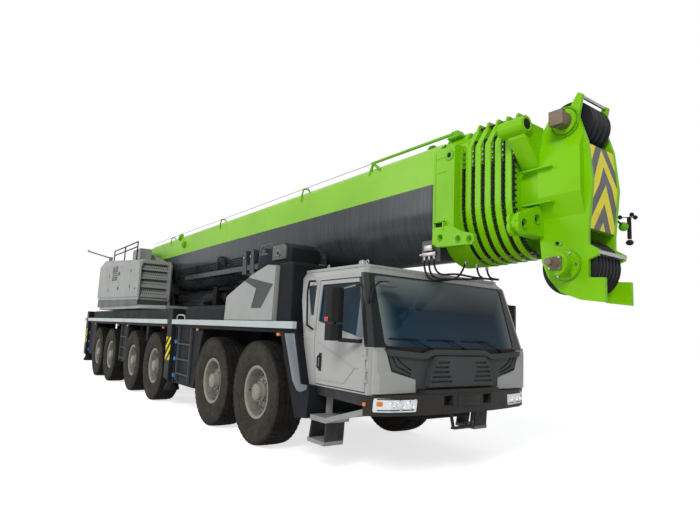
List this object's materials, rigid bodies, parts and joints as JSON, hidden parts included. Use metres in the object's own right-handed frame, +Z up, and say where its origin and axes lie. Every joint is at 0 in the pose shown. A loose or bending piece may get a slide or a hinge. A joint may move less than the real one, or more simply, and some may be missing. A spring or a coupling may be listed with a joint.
{
  "type": "six-axle mobile crane",
  "caption": "All-terrain mobile crane with a stowed telescopic boom, driver's cab, outriggers and a slewing upper structure.",
  "frame": {"origin": "middle of the length and width, on the ground", "axes": "+X forward towards the driver's cab, +Y to the vehicle's left, +Z up"},
  "size_m": [17.82, 3.88, 4.1349],
  "materials": {
    "body_grey": "warm grey paint",
    "boom_green": "lime green and graphite gloss paint",
    "cab_grey": "light grey paint, satin",
    "chrome": "hard chrome",
    "cylinder": "painted barrel",
    "frame_dark": "dark graphite paint",
    "glass": "tinted, glossy",
    "lamp": "clear lens",
    "outrigger": "dark paint with yellow and black stripes",
    "panel_dark": "moulded, satin graphite",
    "rail_light": "light grey paint",
    "running_gear": "black paint",
    "sheave": "cast nylon",
    "upper_grey": "grey paint",
    "wheel": "matt tyre on a light grey rim"
  },
  "bodies": {
    "chassis": {"chassis_frame": "frame_dark", "axle_beams": "running_gear", "decks": "frame_dark", "side_rails": "rail_light", "deck_boxes": "frame_dark", "deck_housings": "body_grey", "engine_block": "running_gear", "mudguards": "panel_dark", "cab_shell": "cab_grey", "cab_glass": "glass", "front_panel": "panel_dark", "bumper": "panel_dark", "headlamps": "lamp", "cab_steps": "upper_grey"},
    "wheel_1_right": {"wheel_1_right": "wheel"},
    "knuckle_1_right": {"knuckle_1_right": "running_gear"},
    "wheel_1_left": {"wheel_1_left": "wheel"},
    "knuckle_1_left": {"knuckle_1_left": "running_gear"},
    "wheel_2_right": {"wheel_2_right": "wheel"},
    "knuckle_2_right": {"knuckle_2_right": "running_gear"},
    "wheel_2_left": {"wheel_2_left": "wheel"},
    "knuckle_2_left": {"knuckle_2_left": "running_gear"},
    "wheel_3_right": {"wheel_3_right": "wheel"},
    "wheel_3_left": {"wheel_3_left": "wheel"},
    "wheel_4_right": {"wheel_4_right": "wheel"},
    "wheel_4_left": {"wheel_4_left": "wheel"},
    "wheel_5_right": {"wheel_5_right": "wheel"},
    "knuckle_5_right": {"knuckle_5_right": "running_gear"},
    "wheel_5_left": {"wheel_5_left": "wheel"},
    "knuckle_5_left": {"knuckle_5_left": "running_gear"},
    "wheel_6_right": {"wheel_6_right": "wheel"},
    "knuckle_6_right": {"knuckle_6_right": "running_gear"},
    "wheel_6_left": {"wheel_6_left": "wheel"},
    "knuckle_6_left": {"knuckle_6_left": "running_gear"},
    "door_right": {"door_right": "cab_grey"},
    "door_left": {"door_left": "cab_grey"},
    "outrigger_front_right": {"outrigger_front_right": "outrigger"},
    "jack_front_right": {"jack_front_right": "outrigger"},
    "outrigger_front_left": {"outrigger_front_left": "outrigger"},
    "jack_front_left": {"jack_front_left": "outrigger"},
    "outrigger_rear_right": {"outrigger_rear_right": "outrigger"},
    "jack_rear_right": {"jack_rear_right": "outrigger"},
    "outrigger_rear_left": {"outrigger_rear_left": "outrigger"},
    "jack_rear_left": {"jack_rear_left": "outrigger"},
    "superstructure": {"slewing_platform": "upper_grey", "upper_housings": "upper_grey", "operator_cab": "cab_grey"},
    "operator_door": {"operator_door": "cab_grey"},
    "hoist_drum": {"hoist_drum": "running_gear"},
    "boom": {"boom_base": "boom_green"},
    "luff_barrel": {"luff_barrel": "cylinder"},
    "luff_rod": {"luff_rod": "chrome"},
    "section_1": {"boom_section_1": "boom_green"},
    "section_2": {"boom_section_2": "boom_green"},
    "section_3": {"boom_section_3": "boom_green"},
    "section_4": {"boom_section_4": "boom_green"},
    "section_5": {"boom_section_5": "boom_green"},
    "tip": {"boom_tip": "boom_green"},
    "sheaves_top": {"sheaves_top": "sheave"},
    "sheaves_bottom": {"sheaves_bottom": "sheave"}
  },
  "joints": [
    {"name": "steer_1_right", "type": "hinge", "parent": "chassis", "child": "knuckle_1_right", "pos_m": [4.39, -0.98, 0.74], "axis": [0, 0, 1], "range_deg": [-32, 32]},
    {"name": "spin_1_right", "type": "hinge", "parent": "knuckle_1_right", "child": "wheel_1_right", "pos_m": [4.39, -1.275, 0.74], "axis": [0, 1, 0], "continuous": true},
    {"name": "steer_1_left", "type": "hinge", "parent": "chassis", "child": "knuckle_1_left", "pos_m": [4.39, 0.98, 0.74], "axis": [0, 0, 1], "range_deg": [-32.5, 32.5]},
    {"name": "spin_1_left", "type": "hinge", "parent": "knuckle_1_left", "child": "wheel_1_left", "pos_m": [4.39, 1.275, 0.74], "axis": [0, 1, 0], "continuous": true},
    {"name": "steer_2_right", "type": "hinge", "parent": "chassis", "child": "knuckle_2_right", "pos_m": [2.74, -0.98, 0.74], "axis": [0, 0, 1], "range_deg": [-24.6, 24.6]},
    {"name": "spin_2_right", "type": "hinge", "parent": "knuckle_2_right", "child": "wheel_2_right", "pos_m": [2.74, -1.275, 0.74], "axis": [0, 1, 0], "continuous": true},
    {"name": "steer_2_left", "type": "hinge", "parent": "chassis", "child": "knuckle_2_left", "pos_m": [2.74, 0.98, 0.74], "axis": [0, 0, 1], "range_deg": [-24.6, 24.6]},
    {"name": "spin_2_left", "type": "hinge", "parent": "knuckle_2_left", "child": "wheel_2_left", "pos_m": [2.74, 1.275, 0.74], "axis": [0, 1, 0], "continuous": true},
    {"name": "spin_3_right", "type": "hinge", "parent": "chassis", "child": "wheel_3_right", "pos_m": [-0.61, -1.275, 0.74], "axis": [0, 1, 0], "continuous": true},
    {"name": "spin_3_left", "type": "hinge", "parent": "chassis", "child": "wheel_3_left", "pos_m": [-0.61, 1.275, 0.74], "axis": [0, 1, 0], "continuous": true},
    {"name": "spin_4_right", "type": "hinge", "parent": "chassis", "child": "wheel_4_right", "pos_m": [-2.41, -1.275, 0.74], "axis": [0, 1, 0], "continuous": true},
    {"name": "spin_4_left", "type": "hinge", "parent": "chassis", "child": "wheel_4_left", "pos_m": [-2.41, 1.275, 0.74], "axis": [0, 1, 0], "continuous": true},
    {"name": "steer_5_right", "type": "hinge", "parent": "chassis", "child": "knuckle_5_right", "pos_m": [-4.81, -0.98, 0.74], "axis": [0, 0, 1], "range_deg": [-19.6, 19.6]},
    {"name": "spin_5_right", "type": "hinge", "parent": "knuckle_5_right", "child": "wheel_5_right", "pos_m": [-4.81, -1.275, 0.74], "axis": [0, 1, 0], "continuous": true},
    {"name": "steer_5_left", "type": "hinge", "parent": "chassis", "child": "knuckle_5_left", "pos_m": [-4.81, 0.98, 0.74], "axis": [0, 0, 1], "range_deg": [-19.6, 19.6]},
    {"name": "spin_5_left", "type": "hinge", "parent": "knuckle_5_left", "child": "wheel_5_left", "pos_m": [-4.81, 1.275, 0.74], "axis": [0, 1, 0], "continuous": true},
    {"name": "steer_6_right", "type": "hinge", "parent": "chassis", "child": "knuckle_6_right", "pos_m": [-6.46, -0.98, 0.74], "axis": [0, 0, 1], "range_deg": [-28.11, 28.11]},
    {"name": "spin_6_right", "type": "hinge", "parent": "knuckle_6_right", "child": "wheel_6_right", "pos_m": [-6.46, -1.275, 0.74], "axis": [0, 1, 0], "continuous": true},
    {"name": "steer_6_left", "type": "hinge", "parent": "chassis", "child": "knuckle_6_left", "pos_m": [-6.46, 0.98, 0.74], "axis": [0, 0, 1], "range_deg": [-28.11, 28.11]},
    {"name": "spin_6_left", "type": "hinge", "parent": "knuckle_6_left", "child": "wheel_6_left", "pos_m": [-6.46, 1.275, 0.74], "axis": [0, 1, 0], "continuous": true},
    {"name": "open_door_right", "type": "hinge", "parent": "chassis", "child": "door_right", "pos_m": [6.83, -1.396, 1.3], "axis": [0, 0, 1], "range_deg": [0, 70]},
    {"name": "open_door_left", "type": "hinge", "parent": "chassis", "child": "door_left", "pos_m": [6.83, 1.396, 1.3], "axis": [0, 0, -1], "range_deg": [0, 70]},
    {"name": "extend_front_right", "type": "slide", "parent": "chassis", "child": "outrigger_front_right", "axis": [0, -1, 0], "range_m": [0, 1.7]},
    {"name": "lower_front_right", "type": "slide", "parent": "outrigger_front_right", "child": "jack_front_right", "axis": [0, 0, -1], "range_m": [0, 0.325]},
    {"name": "extend_front_left", "type": "slide", "parent": "chassis", "child": "outrigger_front_left", "axis": [0, 1, 0], "range_m": [0, 1.7]},
    {"name": "lower_front_left", "type": "slide", "parent": "outrigger_front_left", "child": "jack_front_left", "axis": [0, 0, -1], "range_m": [0, 0.325]},
    {"name": "extend_rear_right", "type": "slide", "parent": "chassis", "child": "outrigger_rear_right", "axis": [0, -1, 0], "range_m": [0, 1.7]},
    {"name": "lower_rear_right", "type": "slide", "parent": "outrigger_rear_right", "child": "jack_rear_right", "axis": [0, 0, -1], "range_m": [0, 0.325]},
    {"name": "extend_rear_left", "type": "slide", "parent": "chassis", "child": "outrigger_rear_left", "axis": [0, 1, 0], "range_m": [0, 1.7]},
    {"name": "lower_rear_left", "type": "slide", "parent": "outrigger_rear_left", "child": "jack_rear_left", "axis": [0, 0, -1], "range_m": [0, 0.325]},
    {"name": "slew", "type": "hinge", "parent": "chassis", "child": "superstructure", "pos_m": [-3.61, 0, 1.85], "axis": [0, 0, 1], "continuous": true},
    {"name": "slide_operator_door", "type": "slide", "parent": "superstructure", "child": "operator_door", "axis": [-1, 0, 0], "range_m": [0, 0.65]},
    {"name": "wind_hoist", "type": "hinge", "parent": "superstructure", "child": "hoist_drum", "pos_m": [-6.71, 0, 2.64], "axis": [0, 1, 0], "continuous": true},
    {"name": "luff", "type": "hinge", "parent": "superstructure", "child": "boom", "pos_m": [-5.91, 0, 3.45], "axis": [0, -1, 0], "range_deg": [0, 82]},
    {"name": "turn_luff_barrel", "type": "hinge", "parent": "superstructure", "child": "luff_barrel", "pos_m": [-3.51, 0, 2.365], "axis": [0, -1, 0], "range_deg": [0, 91.87]},
    {"name": "push_luff_rod", "type": "slide", "parent": "luff_barrel", "child": "luff_rod", "axis": [1, 0, 0], "range_m": [0, 3.2687]},
    {"name": "telescope_1", "type": "slide", "parent": "boom", "child": "section_1", "axis": [1, 0, 0], "range_m": [0, 10.5]},
    {"name": "telescope_2", "type": "slide", "parent": "section_1", "child": "section_2", "axis": [1, 0, 0], "range_m": [0, 10.5]},
    {"name": "telescope_3", "type": "slide", "parent": "section_2", "child": "section_3", "axis": [1, 0, 0], "range_m": [0, 10.5]},
    {"name": "telescope_4", "type": "slide", "parent": "section_3", "child": "section_4", "axis": [1, 0, 0], "range_m": [0, 10.5]},
    {"name": "telescope_5", "type": "slide", "parent": "section_4", "child": "section_5", "axis": [1, 0, 0], "range_m": [0, 10.5]},
    {"name": "telescope_6", "type": "slide", "parent": "section_5", "child": "tip", "axis": [1, 0, 0], "range_m": [0, 10.5]},
    {"name": "spin_sheaves_top", "type": "hinge", "parent": "tip", "child": "sheaves_top", "pos_m": [8.54, 0, 3.86], "axis": [0, 1, 0], "continuous": true},
    {"name": "spin_sheaves_bottom", "type": "hinge", "parent": "tip", "child": "sheaves_bottom", "pos_m": [8.53, 0, 2.39], "axis": [0, 1, 0], "continuous": true}
  ],
  "couplings": [
    {"joint": "steer_1_left", "follows": "steer_1_right", "ratio": 1},
    {"joint": "steer_2_right", "follows": "steer_1_right", "ratio": 0.757},
    {"joint": "steer_2_left", "follows": "steer_1_right", "ratio": 0.757},
    {"joint": "steer_5_right", "follows": "steer_1_right", "ratio": -0.603},
    {"joint": "steer_5_left", "follows": "steer_1_right", "ratio": -0.603},
    {"joint": "steer_6_right", "follows": "steer_1_right", "ratio": -0.865},
    {"joint": "steer_6_left", "follows": "steer_1_right", "ratio": -0.865},
    {"joint": "turn_luff_barrel", "follows": "luff", "ratio": 1.1143},
    {"joint": "push_luff_rod", "follows": "luff", "m_per_rad": 2.2769},
    {"joint": "telescope_2", "follows": "telescope_1", "ratio": 1},
    {"joint": "telescope_3", "follows": "telescope_1", "ratio": 1},
    {"joint": "telescope_4", "follows": "telescope_1", "ratio": 1},
    {"joint": "telescope_5", "follows": "telescope_1", "ratio": 1},
    {"joint": "telescope_6", "follows": "telescope_1", "ratio": 1}
  ]
}
